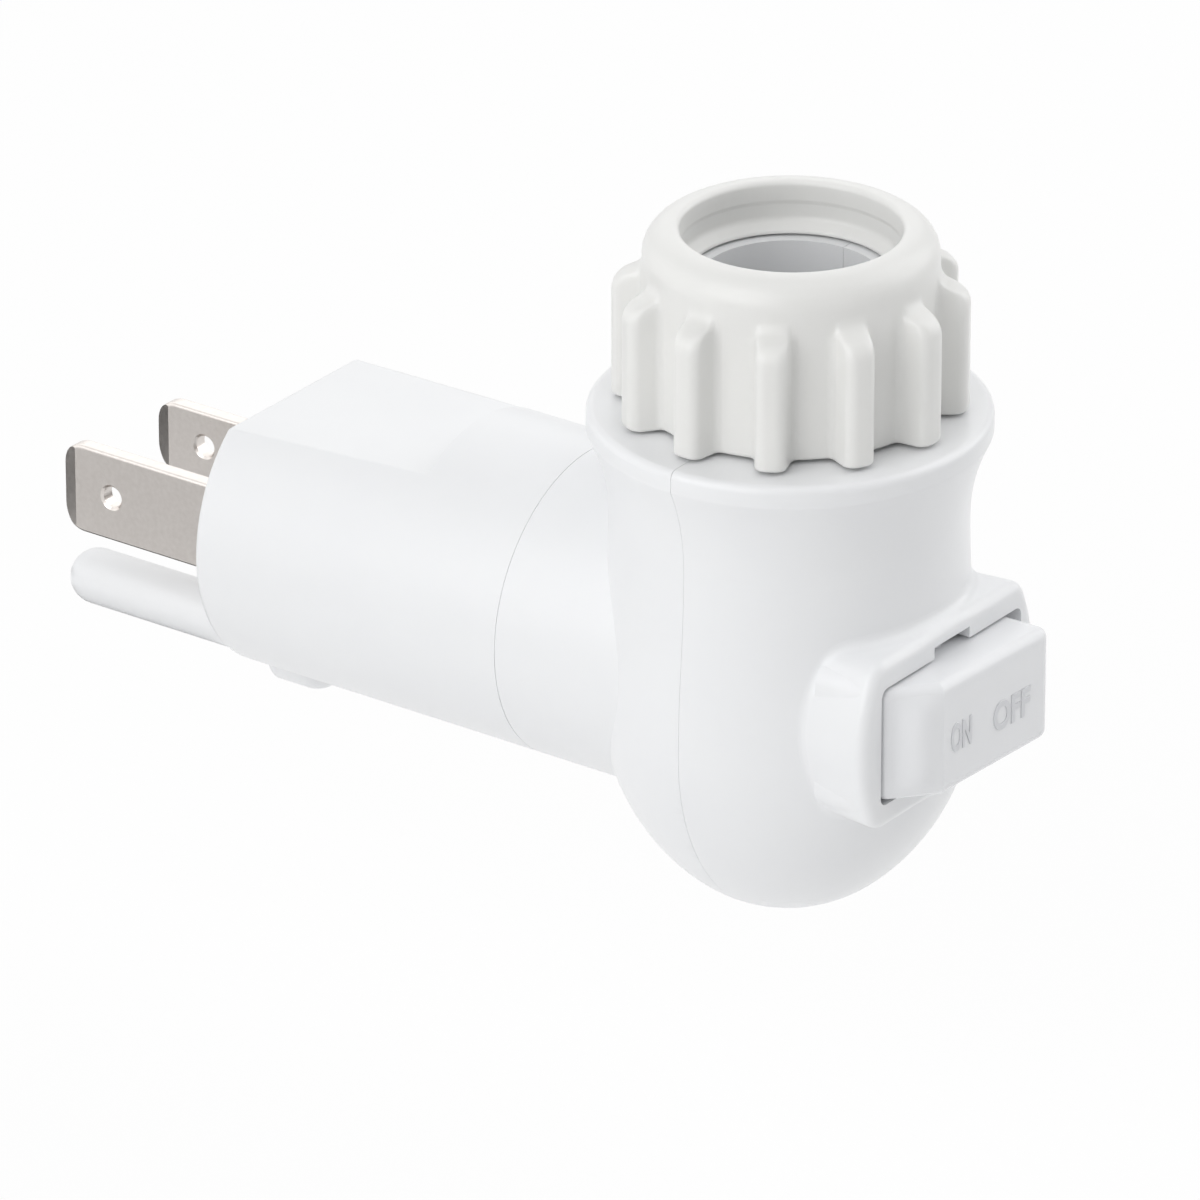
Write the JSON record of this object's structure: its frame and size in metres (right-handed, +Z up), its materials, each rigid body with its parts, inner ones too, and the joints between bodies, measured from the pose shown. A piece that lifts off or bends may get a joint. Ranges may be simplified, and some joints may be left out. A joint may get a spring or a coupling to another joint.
{
  "type": "plug-in night light socket",
  "caption": "Night light holder on a swivelling grounded plug: bullet-shaped body with a rocker switch, a small screw lamp socket in its neck and a ribbed ring nut for a shade.",
  "frame": {"origin": "centre of the plug face, on the swivel axis", "axes": "+Y out of the plug face into the wall outlet, +Z up along the lamp axis, +X to the right seen from the room"},
  "size_m": [0.033, 0.094, 0.0597],
  "materials": {
    "body_plastic": "moulded satin gloss",
    "ring_plastic": "moulded satin gloss",
    "rocker_plastic": "moulded gloss",
    "inner_plastic": "moulded",
    "nickel": "nickel plated, satin",
    "contact_brass": "stamped",
    "spring_steel": "stamped",
    "shell_aluminium": "drawn",
    "contact_silver": "silver alloy"
  },
  "bodies": {
    "plug": {"plug_housing": "body_plastic", "neutral_blade": "nickel", "line_blade": "nickel", "contact_carrier": "inner_plastic", "neutral_slip_ring": "contact_brass", "line_slip_disc": "contact_brass", "retaining_ring": "spring_steel"},
    "lamp_body": {"rear_shell": "body_plastic", "front_shell": "body_plastic", "socket_insulator": "inner_plastic", "screw_shell": "shell_aluminium", "centre_contact": "contact_brass", "neutral_rivet": "contact_brass", "neutral_wiper": "contact_brass", "line_wiper": "contact_brass", "switch_leaf": "contact_brass", "leaf_button": "contact_silver", "terminal_button": "contact_silver"},
    "rocker": {"rocker": "rocker_plastic"},
    "ring": {"ring_nut": "ring_plastic"}
  },
  "joints": [
    {"name": "plug_swivel", "type": "hinge", "parent": "plug", "child": "lamp_body", "pos_m": [0, -0.033, 0], "axis": [0, 1, 0], "continuous": true},
    {"name": "rocker_tilt", "type": "hinge", "parent": "lamp_body", "child": "rocker", "pos_m": [0, -0.0645, 0.0003], "axis": [0, 0, 1], "range_deg": [0, 16]},
    {"name": "ring_turn", "type": "hinge", "parent": "lamp_body", "child": "ring", "pos_m": [0, -0.0509, 0.03], "axis": [0, 0, 1], "range_deg": [0, 1080]}
  ]
}
